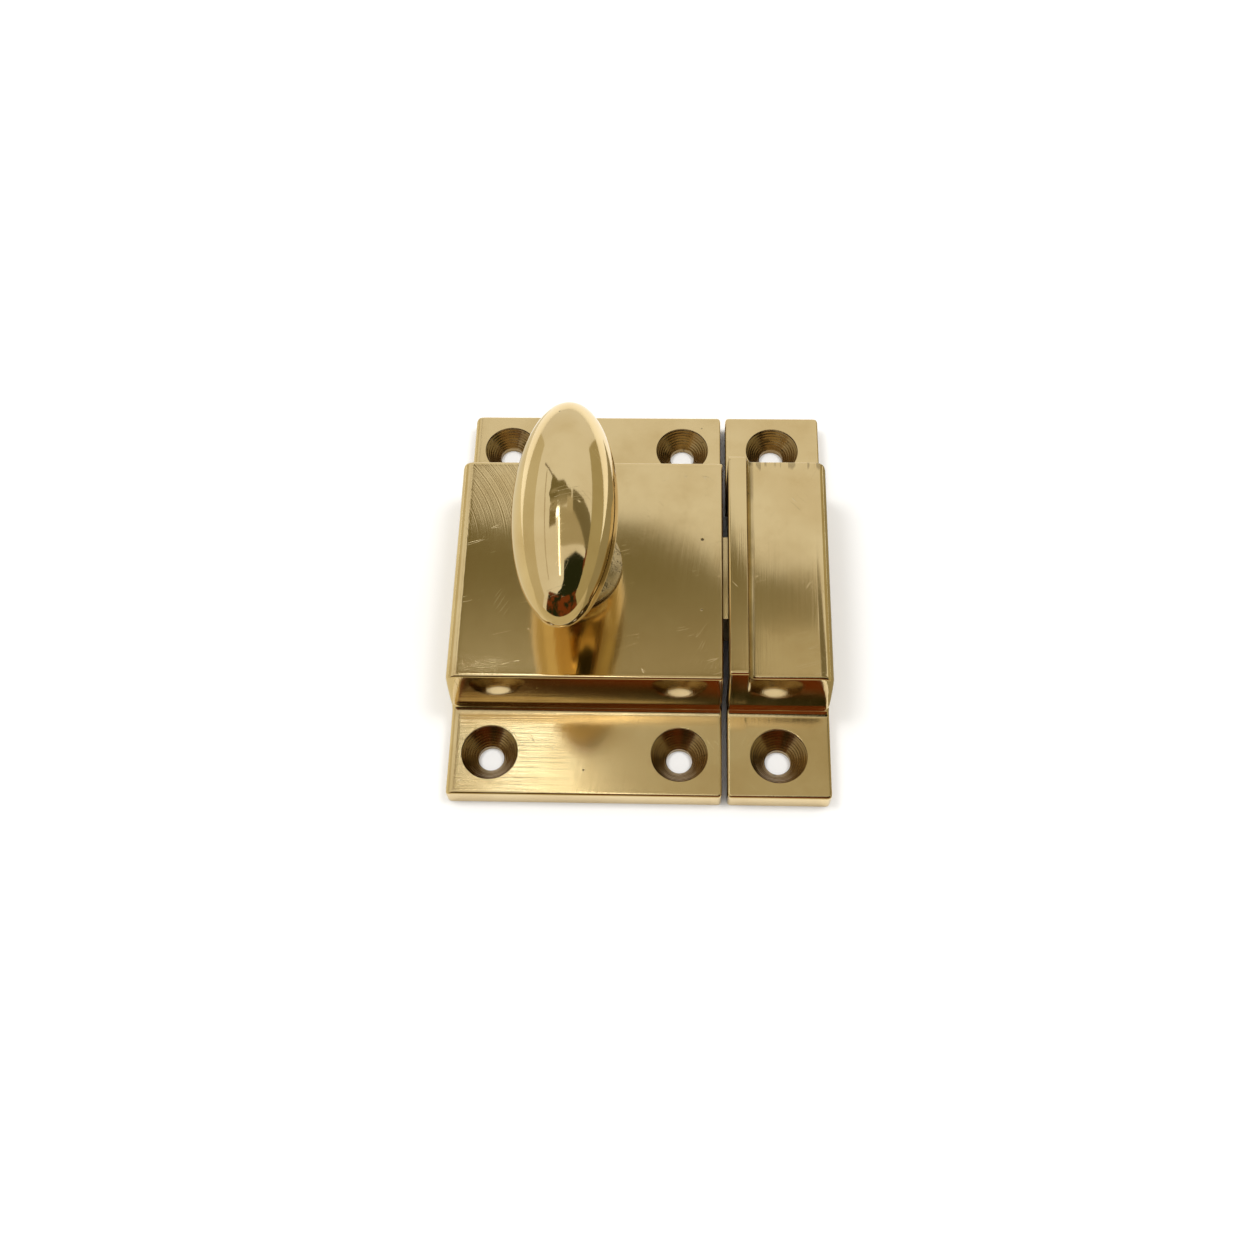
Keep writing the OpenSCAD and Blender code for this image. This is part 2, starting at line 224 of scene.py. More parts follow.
def bake_modifiers(piece, sharp=35):
    """Replaces a piece's mesh with the result of its modifiers."""
    graph = bpy.context.evaluated_depsgraph_get()
    done = bpy.data.meshes.new_from_object(piece.evaluated_get(graph))
    piece.modifiers.clear()
    old = piece.data
    piece.data = done
    done.name = piece.name
    bpy.data.meshes.remove(old)
    smooth(piece, sharp)


def revolve(profile, centre, turns=96):
    """A closed surface of revolution: the profile's (radius, height) pairs turned about an upright
    axis. The first and last pairs lie on the axis, where the surface closes in a fan."""
    r, h = np.asarray(profile, dtype=float).T
    angle = np.linspace(0, 2*np.pi, turns, endpoint=False)
    ring = np.stack([r[:, None]*np.cos(angle), r[:, None]*np.sin(angle),
                     np.broadcast_to(h[:, None], (len(r), turns))], -1)
    return ring + np.asarray(centre), grid_quads(len(r), turns, wrap_cols=True)


def prism(outline, low, high):
    """An outline in (x, y) carried along Z from low to high, closed by its own flat ends."""
    flat = np.asarray(outline, dtype=float)
    n = len(flat)
    points = np.concatenate([np.column_stack([flat, np.full(n, z)]) for z in (low, high)])
    sides = [[k, (k + 1) % n, n + (k + 1) % n, n + k] for k in range(n)]
    return points, sides + [list(range(n))[::-1], list(range(n, 2*n))]


def block(low, high):
    """The six flat faces between two corners."""
    (x0, y0, z0), (x1, y1, z1) = low, high
    return prism([(x0, y0), (x1, y0), (x1, y1), (x0, y1)], z0, z1)


def arc(centre, radius, start, end, count):
    """Points at even angles round a centre, from start to end degrees."""
    angle = np.radians(np.linspace(start, end, count))
    return np.asarray(centre) + radius*np.column_stack([np.cos(angle), np.sin(angle)])


def cut(piece, cutters):
    """Cuts closed shapes out of a piece, one after another."""
    for k, (points, faces) in enumerate(cutters):
        tool = new_piece(f"{piece.name}_cut_{k}", points, faces)
        step = piece.modifiers.new("cut", "BOOLEAN")
        step.operation = "DIFFERENCE"
        step.solver = "EXACT"
        step.object = tool
        bake_modifiers(piece)
        bpy.data.objects.remove(tool, do_unlink=True)


def face_centres(piece):
    """The middle of every face, as an array."""
    mesh = piece.data
    centres = np.empty(len(mesh.polygons)*3)
    mesh.polygons.foreach_get("center", centres)
    return centres.reshape(-1, 3)


def paint(piece, materials, chosen=None):
    """Gives a piece its materials; chosen holds the material number of each face."""
    piece.data.materials.clear()
    for material in materials:
        piece.data.materials.append(material)
    numbers = np.zeros(len(piece.data.polygons), dtype=np.int32) if chosen is None else chosen
    piece.data.polygons.foreach_set("material_index", numbers.astype(np.int32))
    piece.data.update()


def declare(piece, body, slot, *nodes):
    """Parents the piece to the body it moves with and hides the nodes it stands for; slot is not used.
    """
    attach(piece, body)
    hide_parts(*nodes)


def softened(node, width, sharp=35):
    """A copy of a CAD node whose flats are joined up and whose sharp edges are broken."""
    source = frame["nodes"][node]
    shell = bmesh.new()
    shell.from_mesh(source.data)
    bmesh.ops.remove_doubles(shell, verts=shell.verts, dist=2e-6)
    bmesh.ops.dissolve_limit(shell, angle_limit=math.radians(1.0), verts=shell.verts,
                             edges=shell.edges)
    mesh = bpy.data.meshes.new(f"{node}_soft")
    shell.to_mesh(mesh)
    shell.free()
    mesh.materials.clear()
    piece = bpy.data.objects.new(f"{node}_soft", mesh)
    bpy.context.scene.collection.objects.link(piece)
    bevel = piece.modifiers.new("break edges", "BEVEL")
    bevel.width = width
    bevel.segments = 3
    bevel.limit_method = "ANGLE"
    bevel.angle_limit = math.radians(sharp)
    bevel.use_clamp_overlap = True
    bake_modifiers(piece, sharp)
    return piece


# ---------------------------------------------------------------- casting surfaces

def buffed(depth, radius, power=2.5):
    """How far a buffed edge has fallen away at a given depth from the side face: the radius less
    the height of a superellipse of that power, which leaves the flat gently; nothing beyond the
    radius."""
    reach = 1 - np.minimum(depth, radius)/radius
    return radius*(1 - np.maximum(1 - reach**power, 0)**(1/power))


def eared_path(sizes, half_len):
    """Half of an eared casting's side view, from the ear's end to the middle of the face, as
    columns: y; how far y gives way to the rounding of the ear's and of the body's upright
    corners; z as a + b*height; how far z gives way to the ear's long edge; and a weight that is
    1 in the middle of a flat and 0 at its ends. The end wall is a parabola that leans in more
    towards the face; quarter rounds join it to the face and, hollow, to the ear."""
    s = sizes
    half, edge, root = s.body_len/2, s.face_edge, s.root_r
    rise = CASE_HI[2] - s.ear_t
    foot_lean = math.atan(s.draft*0.25/rise)
    top_lean = math.atan(s.draft*1.75/rise)
    centre = half + s.draft + root*math.tan(math.pi/4 - foot_lean/2)
    rows = []

    def add(*columns):
        columns = np.broadcast_arrays(*map(np.atleast_1d, columns))
        rows.append(np.column_stack([c.astype(float) for c in columns]))

    t, tip = np.linspace(0, 1, 6, endpoint=False), s.ear_t - s.fall
    add(half_len, 1, 0, t*(tip - s.ear_edge), 0, t, 0)
    q = np.radians(np.linspace(0, 90, 7))
    add(half_len - s.ear_edge*(1 - np.cos(q)), 1, 0, tip - s.ear_edge*(1 - np.sin(q)), 0, 1, 0)
    t = np.linspace(0, 1, 66)[1:-1]
    start = half_len - s.ear_edge
    add(start + (centre - start)*t, 1 - t, t, s.ear_t - s.fall*(1 - t)**1.5, 0, 1,
        np.sin(np.pi*t)**0.6)
    q = np.linspace(1.5*np.pi, np.pi + foot_lean, 14)
    add(centre + root*np.cos(q), 0, 1, s.ear_t + root*(1 + np.sin(q)), 0, 1, 0)
    t = np.linspace(0, 1, 22)[1:-1]
    foot_y, foot_z = centre - root*math.cos(foot_lean), s.ear_t + root*(1 - math.sin(foot_lean))
    add(foot_y - (foot_y - half)*(0.25*t + 0.75*t**2), 0, 1,
        foot_z*(1 - t) - edge*(1 - math.sin(top_lean))*t, t, 1 - t, 0)
    q = np.linspace(top_lean, np.pi/2, 9)
    inner = half - edge*math.cos(top_lean)
    add(inner + edge*np.cos(q), 0, 1, -edge*(1 - np.sin(q)), 1, 0, 0)
    t = np.linspace(0, 1, 72)[1:]
    add(inner*(1 - t), 0, 1 - t, 0, 1, 0, np.sin(np.pi/2*t)**0.6)
    return np.concatenate(rows)


def buffing_waves(x, y, seed):
    """Low waves: the sum of a few sine waves of 9 to 26 mm in chosen directions, within 0 to 1."""
    draw = np.random.default_rng(seed)
    total = np.zeros(np.broadcast(x, y).shape)
    waves = 7
    for _ in range(waves):
        heading = draw.uniform(0, np.pi)
        pitch = draw.uniform(9, 26)*MM
        phase = draw.uniform(0, 2*np.pi)
        total += np.sin(2*np.pi*(x*np.cos(heading) + y*np.sin(heading))/pitch + phase)
    return 0.5 + total/(2*waves)


def eared_casting(name, sizes, low, high, height, stations, outer_side, ear_side, seed):
    """A closed eared casting: the side view carried across in x. Near the long sides the corners
    and edges give way by quarter rounds of their own radii; height gives the top of the raised
    middle at each x. Flat parts also fall away by a quartic crown and by the buffing waves. The
    back is the straight line between the path's two ends."""
    half = eared_path(sizes, (high[1] - low[1])/2)
    half = np.column_stack([half, np.ones(len(half))])
    other = half[-2::-1].copy()
    other[:, 7] = -1
    y, give_ear, give_body, a, b, drop_ear, weight, side = np.concatenate([half, other]).T
    x = stations[:, None]
    to_low, to_high = x - low[0], high[0] - x
    to_outer, to_inner = (to_low, to_high) if outer_side < 0 else (to_high, to_low)
    inner = buffed(to_inner, sizes.inner_r)
    upright_ear = buffed(to_outer, sizes.ear_corner) + buffed(to_inner, sizes.ear_corner*0.8)
    upright_body = buffed(to_outer, sizes.corner_r) + inner
    edge_ear = buffed(to_outer, ear_side) + inner
    edge_body = buffed(to_outer, sizes.outer_r) + inner
    middle, reach = (low[0] + high[0])/2, (high[0] - low[0])/2
    across = ((x - middle)/reach)**4
    along = np.where(b > 0.5, y/(sizes.body_len/2), 0)**4
    ys = side*(y - give_ear*upright_ear - give_body*upright_body)
    sink = weight*(sizes.crown*0.5*across + sizes.crown*0.5*along
                   + sizes.wave*buffing_waves(x, ys, seed))
    zs = a + b*(height(x) - edge_body) - drop_ear*edge_ear - sink
    points = np.stack([np.broadcast_to(x, ys.shape), ys, np.maximum(zs, 0)], -1)
    back = np.linspace(0, 1, 40)[1:-1][None, :, None]
    under = points[:, -1:, :]*(1 - back) + points[:, :1, :]*back
    loop = np.concatenate([points, under], 1)
    rows, cols = loop.shape[:2]
    faces = [*grid_quads(rows, cols, wrap_cols=True).tolist(),
             list(range(cols))[::-1], list(range((rows - 1)*cols, rows*cols))]
    return new_piece(name, loop, faces)


def edge_stations(reach, fine=0.004*MM):
    """Distances from a side face, spaced closely at first, so that every quarter round of up
    to the given reach is smooth: a power law in even steps."""
    return fine + (reach - fine)*np.linspace(0, 1, 26)**2.3


def countersink(x, y, sizes, holes):
    """Cutter for one screw hole: hole, 90 degree cone, straight land and a softly buffed rim."""
    top, land, rim = sizes.ear_t, holes.land, holes.rim
    hole, csk = holes.hole_d/2, holes.csk_d/2
    cone_top = top - land
    lead = arc((csk + rim, top - rim), rim, 180, 90, 6)
    profile = [(0, -MM), (hole, -MM), (hole, cone_top - (csk - hole)), (csk, cone_top),
               *lead, (csk + rim, top + MM), (0, top + MM)]
    return revolve(profile, (x, y, 0))


def near_holes(centres, spots, radius, top):
    """Which face centres lie inside a countersink: nearer than radius to a hole's axis."""
    found = np.zeros(len(centres), dtype=bool)
    for x, y in spots:
        found |= np.hypot(centres[:, 0] - x, centres[:, 1] - y) < radius
    return found & (centres[:, 2] < top) & (centres[:, 2] > 1e-6)


# ---------------------------------------------------------------- finishes

class Wire:
    """A socket of a node tree. Arithmetic on it adds Math nodes."""

    def __init__(self, finish, socket):
        self.finish = finish
        self.socket = socket

    def math(self, operation, *values, clamp=False):
        settings = {"operation": operation, "use_clamp": clamp}
        return self.finish.node("ShaderNodeMath", settings, dict(enumerate(values)))

    def __add__(self, other): return self.math("ADD", self, other)
    def __radd__(self, other): return self.math("ADD", other, self)
    def __sub__(self, other): return self.math("SUBTRACT", self, other)
    def __rsub__(self, other): return self.math("SUBTRACT", other, self)
    def __mul__(self, other): return self.math("MULTIPLY", self, other)
    def __rmul__(self, other): return self.math("MULTIPLY", other, self)
    def __truediv__(self, other): return self.math("DIVIDE", self, other)
    def __pow__(self, other): return self.math("POWER", self, other)
    def __abs__(self): return self.math("ABSOLUTE", self)

    def sine(self): return self.math("SINE", self)
    def at_most(self, limit): return self.math("MINIMUM", self, limit)
    def at_least(self, limit): return self.math("MAXIMUM", self, limit)

    def above(self, edge, width):
        """0 below edge, 1 above edge + width, straight between them."""
        return self.math("MULTIPLY", self - edge, 1/width, clamp=True)

    def below(self, edge, width):
        """1 below edge, 0 above edge + width."""
        return 1 - self.above(edge, width)


class Finish:
    """A material under construction: one method makes every node."""

    def __init__(self, name):
        self.material = bpy.data.materials.new(name)
        self.material.use_nodes = True
        self.tree = self.material.node_tree
        self.tree.nodes.clear()
        self.place = self.node("ShaderNodeTexCoord", {}, {}, "Object")

    def node(self, kind, settings, sockets, output=0):
        made = self.tree.nodes.new(kind)
        for key, value in settings.items():
            setattr(made, key, value)
        for key, value in sockets.items():
            if isinstance(value, Wire):
                self.tree.links.new(value.socket, made.inputs[key])
            else:
                made.inputs[key].default_value = value
        return Wire(self, made.outputs[output]) if len(made.outputs) else None

    def axes(self):
        """The object's x, y and z as three wires, in millimetres."""
        split = [self.node("ShaderNodeSeparateXYZ", {}, {0: self.place}, k) for k in range(3)]
        return [part*1000.0 for part in split]

    def noise(self, scale, detail=2.0, turn=0.0, shift=(0, 0, 0), roughness=0.5):
        """Noise of about one cell per 1/scale metres along each axis, turned about Z."""
        if np.isscalar(scale):
            scale = (scale,)*3
        spot = self.node("ShaderNodeMapping", {"vector_type": "POINT"},
                         {"Vector": self.place, "Rotation": (0, 0, turn), "Location": shift})
        spot = self.node("ShaderNodeVectorMath", {"operation": "MULTIPLY"}, {0: spot, 1: scale})
        return self.node("ShaderNodeTexNoise", {"noise_dimensions": "3D"},
                         {"Vector": spot, "Scale": 1.0, "Detail": detail, "Roughness": roughness})

    def mix(self, amount, first, second):
        """Blends two colours by an amount from 0 to 1."""
        pair = [c if isinstance(c, Wire) else (*c, 1) for c in (first, second)]
        return self.node("ShaderNodeMix", {"data_type": "RGBA"}, {0: amount, 6: pair[0], 7: pair[1]}, 2)

    def scratches(self, turn, shift, across=1000.0, along=60.0, amount=0.655):
        """Fine broken lines: where stretched noise crosses its middle value, kept in patches."""
        lines = self.noise((across, along, along), 0.0, turn, (shift, shift*0.7, 0))
        line = 1 - abs(lines - 0.5).above(0.001, 0.005)
        patch = self.noise(210.0, 1.0, turn, (shift*1.9, 0, shift)).above(amount, 0.05)
        return line*patch

    def pits(self, cells, share, size):
        """Small round pits: a share of the cells of a Voronoi pattern holds one each."""
        spot = self.node("ShaderNodeVectorMath", {"operation": "MULTIPLY"},
                         {0: self.place, 1: (cells,)*3})
        settings = {"voronoi_dimensions": "3D", "feature": "F1"}
        distance = self.node("ShaderNodeTexVoronoi", settings, {"Vector": spot, "Scale": 1.0}, 0)
        chance = self.node("ShaderNodeTexVoronoi", settings, {"Vector": spot, "Scale": 1.0}, 1)
        pick = self.node("ShaderNodeSeparateColor", {}, {0: chance}, 0)
        return distance.below(size, size*0.6)*pick.above(1 - share, 0.01)

    def finish(self, colour, roughness, height, strength, metallic=1.0, distance=0.05*MM):
        """Ends the material: a Principled surface with a bump of the given height."""
        bump = self.node("ShaderNodeBump", {}, {"Height": height, "Strength": strength,
                                                "Distance": distance})
        shader = self.node("ShaderNodeBsdfPrincipled", {},
                           {"Base Color": colour, "Roughness": roughness, "Metallic": metallic,
                            "Normal": bump})
        return self.end(shader)

    def glow(self, shade, strength=1.0):
        """Ends the material: it only shines, for the surroundings."""
        return self.end(self.node("ShaderNodeEmission", {}, {"Color": shade, "Strength": strength}))

    def end(self, shader):
        """Joins a shader to the output and gives the material."""
        self.node("ShaderNodeOutputMaterial", {}, {"Surface": shader})
        return self.material


def polished_brass(name, look, gloss, brush_turn=0.0, brush=0.5, wear=1.0, local=None):
    """Hand-buffed brass: warm patches, fine lines along the buffing, scratches and small pits.
    local(finish) gives three more wires or numbers: dark deposit and painted shade, roughness and
    height."""
    f = Finish(name)
    cloud = f.noise(95.0, 3.0, 0.3, (3.1, 1.7, 0.4))
    patch = f.noise(260.0, 4.0, 0.9, (0.3, 5.2, 1.1), 0.6)
    fine = f.noise((6500.0, 110.0, 110.0), 2.0, brush_turn)
    coarse = f.noise((1900.0, 40.0, 40.0), 1.0, brush_turn + 0.03, (0.5, 0.2, 0.9))
    marks = f.scratches(0.5, 1.3) + f.scratches(-0.7, 4.1) + f.scratches(1.25, 7.7)*0.8
    marks = marks.at_most(1.0)*wear
    deposit_and_shade, rough, lift = (0.0, 0.0, 0.0) if local is None else local(f)
    # Pits, joined by the dark deposit and painted shade that local hands in
    dirt_and_shade = f.pits(300.0, 0.08*wear, 0.05).at_least(deposit_and_shade)
    warm = cloud.above(0.42, 0.22)*0.45 + patch.above(0.50, 0.25)*0.25
    colour = f.mix(warm, tuple(look.brass), tuple(look.brass_deep))
    colour = f.mix(marks*0.25, colour, (0.95, 0.86, 0.62))
    colour = f.mix(dirt_and_shade*0.85, colour, tuple(look.tarnish))
    roughness = gloss + cloud.above(0.45, 0.3)*0.04 + (fine - 0.5)*0.05*brush \
        + marks*0.10 + dirt_and_shade*0.22 + patch.above(0.58, 0.2)*0.03 + rough
    height = fine*0.55*brush + coarse*0.5*brush - marks*0.7 - dirt_and_shade*1.5 + lift
    return f.finish(colour, roughness, height, 0.16)


def turned_brass_and_shade(name, look, centre_x, hole_x, hole_y):
    """Machined brass, coloured darker as painted shade in the deep cones: rings round the nearest hole,
    darker where the tool dwelt.
    """
    f = Finish(name)
    x, y, _ = f.axes()
    dx = abs(x - centre_x) - hole_x if hole_x else x - centre_x
    dy = abs(y) - hole_y
    radius = (dx*dx + dy*dy)**0.5
    wobble = f.noise(420.0, 2.0)*0.35
    rings = (radius*21.0 + wobble*3.0).sine()
    slow = (radius*5.5 + wobble*6.0).sine()
    cloud = f.noise(300.0, 3.0, 0.2).above(0.38, 0.3)
    # Both colours are darker than machined brass: painted shade in the cones
    colour = f.mix(cloud*0.6 + slow*0.12, tuple(look.cone_brass_and_shade), (0.22, 0.125, 0.045))
    colour = f.mix(f.noise(900.0, 2.0).above(0.64, 0.08)*0.6, colour, tuple(look.tarnish))
    roughness = 0.20 + rings*0.03 + cloud*0.07
    return f.finish(colour, roughness, rings*0.5 + slow*0.5, 0.30)


def casting_skin(name, look):
    """Rough unpolished casting, as in the keeper's pocket and the case's cavity."""
    f = Finish(name)
    grain = f.noise(2600.0, 3.0, 0.0, (0, 0, 0), 0.65)
    cloud = f.noise(160.0, 3.0)
    colour = f.mix(cloud.above(0.35, 0.3), tuple(look.cast_brass), (0.16, 0.105, 0.05))
    return f.finish(colour, 0.48 + grain*0.2, grain, 0.55, 0.9, 0.12*MM)


def bright_steel(name, colour, gloss, turn=0.0):
    """Turned or drawn steel with fine lines and faint staining."""
    f = Finish(name)
    fine = f.noise((4200.0, 160.0, 900.0), 2.0, turn)
    cloud = f.noise(240.0, 3.0)
    shade = f.mix(cloud.above(0.45, 0.3)*0.6, tuple(colour), tuple(c*0.62 for c in colour))
    return f.finish(shade, gloss + fine*0.10 + cloud*0.06, fine, 0.2)


def plain_glow(name, colour, strength=1.0):
    """A light of one colour."""
    return Finish(name).glow((*colour, 1), strength)


def graded_glow(name, low_colour, high_colour, low, high):
    """A light that changes from one colour at y = low to another at y = high, in millimetres."""
    f = Finish(name)
    return f.glow(f.mix(f.axes()[1].above(low, high - low), low_colour, high_colour))


def patchy_glow(name, dark, bright, cell):
    """A light in soft patches of two colours, each about as wide as a cell, in metres."""
    f = Finish(name)
    return f.glow(f.mix(f.noise(1/cell/3, 3.0).above(0.44, 0.12), dark, bright))


def pale_floor(name):
    """Matt white board."""
    f = Finish(name)
    tone = f.mix(f.noise(30.0, 2.0), (0.93, 0.93, 0.925), (0.95, 0.95, 0.945))
    return f.finish(tone, 0.7, f.noise(4000.0, 1.0), 0.02, 0.0)


# ---------------------------------------------------------------- operators

class LATCH_OT_case(bpy.types.Operator):
    """Cast case: ears with countersunk holes, crowned face, mouth for the bolt, hollow back"""
    bl_idname = "latch.case"
    bl_label = "Case"

    def execute(self, context):
        scene = context.scene
        s, h, look = scene.latch_casting, scene.latch_holes, scene.latch_finish
        edge = edge_stations(s.outer_r*1.1)
        near = edge_stations(s.ear_corner*1.2)
        x = np.unique(np.concatenate([
            [CASE_LO[0]], CASE_LO[0] + edge, CASE_HI[0] - near, [CASE_HI[0]],
            np.linspace(CASE_LO[0] + s.outer_r*1.15, CASE_HI[0] - s.ear_corner*1.25, 80)]))
        piece = eared_casting("case_casting", s, CASE_LO, CASE_HI,
                              lambda at: np.full_like(at, CASE_HI[2]), x, -1, s.ear_side, 11)
        hole_x, hole_y = CASE_HI[0] - h.inset_x, CASE_HI[1] - h.inset_y
        spots = [(i*hole_x, j*hole_y) for i in (-1, 1) for j in (-1, 1)]
        cav_x, cav_y = CASE_HI[0] - s.wall, s.body_len/2 - s.wall
        cav_top = CASE_HI[2] - s.face_t
        post, inset = 2.4*MM, 2.0*MM
        corner = arc((0, 0), post, 270, 180, 10)
        notch = np.array([cav_x - inset, cav_y - inset]) + corner
        half = [(cav_x, notch[0][1]), *map(tuple, notch), (notch[-1][0], cav_y), (-cav_x, cav_y)]
        outline = half + [(-a, -b) for a, b in half]
        plate_w, plate_l = PLATE_HI[0] + 0.05*MM, PLATE_HI[1] + 0.05*MM
        mouth_w, mouth_top = BOLT_HI[1] + 0.2*MM, BOLT_HI[2] + 0.2*MM
        bore = [(0, cav_top - MM), (h.bore_d/2, cav_top - MM), (h.bore_d/2, CASE_HI[2] + MM),
                (0, CASE_HI[2] + MM)]
        cut(piece, [*[countersink(i, j, s, h) for i, j in spots],
                    prism(outline, -MM, cav_top),
                    block((-plate_w, -plate_l, -2*MM), (plate_w, plate_l, PLATE_HI[2])),
                    block((cav_x - 0.5*MM, -mouth_w, PLATE_HI[2] + 0.2*MM),
                          (CASE_HI[0] + MM, mouth_w, mouth_top)),
                    revolve(bore, (SPINDLE_X, 0, 0))])
        mid = face_centres(piece)
        chosen = np.zeros(len(mid), dtype=np.int32)
        chosen[near_holes(mid, spots, h.csk_d/2 + 0.01*MM, s.ear_t - 0.1*MM)] = 1
        inside = (abs(mid[:, 0]) < plate_w + 1e-6) & (abs(mid[:, 1]) < plate_l + 1e-6)
        chosen[inside & (mid[:, 2] < cav_top + 1e-6)] = 2
        chosen[mid[:, 0] > CASE_HI[0] - 0.005*MM] = 2

        def marks(f):
            """Streaks across the near left ear, a frosted patch at the face's near left corner
            and soft tarnish in the hollows at the foot of the end walls."""
            x, y, z = f.axes()
            near_left = x.below(-9.0, 8.0)
            streaks = f.noise((70.0, 3400.0, 70.0), 2.0, 0.0, (0.1, 0.4, 0.2))
            streaks = (streaks - 0.5)*near_left*y.below(-20.5, 1.5)*z.below(3.6, 0.2)
            frost = f.noise(5200.0, 2.0, 0.0, (0.7, 0.3, 0.9)).above(0.50, 0.2)
            frost = frost*x.below(-13.0, 3.5)*y.below(-15.4, 2.0)*z.above(11.2, 0.3)
            span = x + 34.0
            rise = y - 2.0
            radius = (span*span + rise*rise)**0.5
            arcs = f.node("ShaderNodeTexNoise", {"noise_dimensions": "1D"},
                          {"W": radius*5.5, "Scale": 1.0, "Detail": 2.0}) - 0.5
            arcs = arcs*x.below(-8.0, 6.0)*y.above(3.0, 6.0)*z.above(11.0, 0.5)
            ears = z.below(3.7, 0.3)*0.07
            hollow = abs(abs(y) - s.body_len/2/MM - 1.5).below(0.35, 0.7)*z.below(4.6, 0.4)
            hollow = hollow*z.above(3.3, 0.1)*f.noise(260.0, 3.0).above(0.30, 0.5)
            rough = abs(streaks)*0.3 + frost*0.12 + ears + abs(arcs)*0.2
            return hollow*0.25, rough, streaks*4.0 + frost*0.25 + arcs*1.6

        paint(piece, [polished_brass("case_brass", look, look.face_gloss, 0.12, 0.55, 1.0, marks),
                      turned_brass_and_shade("case_cone_brass_and_shade", look, 0.0, hole_x/MM, hole_y/MM),
                      casting_skin("case_skin", look)], chosen)
        declare(piece, "case", "case_brass", "case_body")
        return {"FINISHED"}


class LATCH_OT_keeper(bpy.types.Operator):
    """Cast keeper: ears, broad face, raised lip with a hollow step, pocket for the bolt"""
    bl_idname = "latch.keeper"
    bl_label = "Keeper"

    def execute(self, context):
        scene = context.scene
        s, h, k, look = (scene.latch_casting, scene.latch_holes, scene.latch_keeper,
                         scene.latch_finish)
        lip_end = KEEPER_LO[0] + k.lip_w
        lip_h = KEEPER_HI[2] - k.face_h
        soft = 0.14*MM

        def height(at):
            """The lip's top, a small quarter round at its edge, then a hollow quarter round down
            to the broad face."""
            u = np.clip((at - lip_end)/k.step_w, 0, 1)
            hollow = (1 - np.sqrt(1 - (1 - u)**2))*lip_h
            eased = buffed(np.maximum(lip_end - at, 0), soft)
            top = np.where(at < lip_end, lip_h - np.where(at > lip_end - soft, eased, 0), hollow)
            return k.face_h + np.minimum(top, lip_h - soft*0.2*(at > lip_end))

        step = lip_end + k.step_w*np.linspace(0, 1, 34)**2
        x = np.unique(np.concatenate([
            [KEEPER_LO[0]], KEEPER_LO[0] + edge_stations(s.ear_corner*1.2),
            np.linspace(KEEPER_LO[0] + s.ear_corner*1.25, lip_end - soft, 8),
            lip_end - np.linspace(0.002, 1, 8)*soft, step,
            np.linspace(lip_end + k.step_w*1.02, KEEPER_HI[0] - s.outer_r*1.15, 36),
            KEEPER_HI[0] - edge_stations(s.outer_r*1.1), [KEEPER_HI[0]]]))
        piece = eared_casting("keeper_casting", s, KEEPER_LO, KEEPER_HI, height, x, 1, k.ear_side, 5)
        hole_x, hole_y = (KEEPER_LO[0] + KEEPER_HI[0])/2 - 0.05*MM, KEEPER_HI[1] - h.inset_y
        spots = [(hole_x, j*hole_y) for j in (-1, 1)]
        pocket_y = s.body_len/2 - k.pocket_wall
        cut(piece, [*[countersink(i, j, s, h) for i, j in spots],
                    block((KEEPER_LO[0] - MM, -pocket_y, -MM),
                          (KEEPER_HI[0] - k.pocket_wall, pocket_y, k.pocket_top))])
        mid = face_centres(piece)
        chosen = np.zeros(len(mid), dtype=np.int32)
        chosen[near_holes(mid, spots, h.csk_d/2 + 0.01*MM, s.ear_t - 0.1*MM)] = 1
        inside = (mid[:, 0] < KEEPER_HI[0] - k.pocket_wall + 1e-6) & (abs(mid[:, 1]) < pocket_y + 1e-6)
        chosen[inside & (mid[:, 2] < k.pocket_top + 1e-6)] = 2
        chosen[mid[:, 0] < KEEPER_LO[0] + 0.005*MM] = 2

        def deposit_and_shade(f):
            """Painted shade along the hollow foot of the step, and dark deposit in short runs from the
            far edge.
            """
            x_mm, y_mm, z_mm = f.axes()
            # Painted shade: a patchy dark band along the hollow foot of the step
            foot = abs(x_mm - (lip_end + k.step_w*0.55)/MM).below(0.30, 0.35)
            foot = foot*f.noise(160.0, 3.0).above(0.20, 0.5)*abs(y_mm).below(s.body_len/2/MM, 0.2)
            runs = f.noise((1700.0, 30.0, 30.0), 1.0, 0.0, (0.3, 0.1, 0.7)).above(0.52, 0.06)
            length_ = f.noise((900.0, 5.0, 5.0), 1.0)*2.4
            end = (y_mm + length_).above(s.body_len/2/MM - 0.1, 0.5)
            high = z_mm.above(k.face_h/MM - 0.5, 0.1)*z_mm.below(k.face_h/MM + 0.2, 0.1)
            return (foot*0.7 + runs*end*high*0.45)*0.9, z_mm.below(3.7, 0.3)*0.05, 0.0

        paint(piece, [polished_brass("keeper_brass", look, look.face_gloss, 0.0, 1.0, 0.7, deposit_and_shade),
                      turned_brass_and_shade("keeper_cone_brass_and_shade", look, hole_x/MM, 0.0, hole_y/MM),
                      casting_skin("keeper_skin", look)], chosen)
        declare(piece, "keeper", "keeper_brass", "keeper")
        return {"FINISHED"}


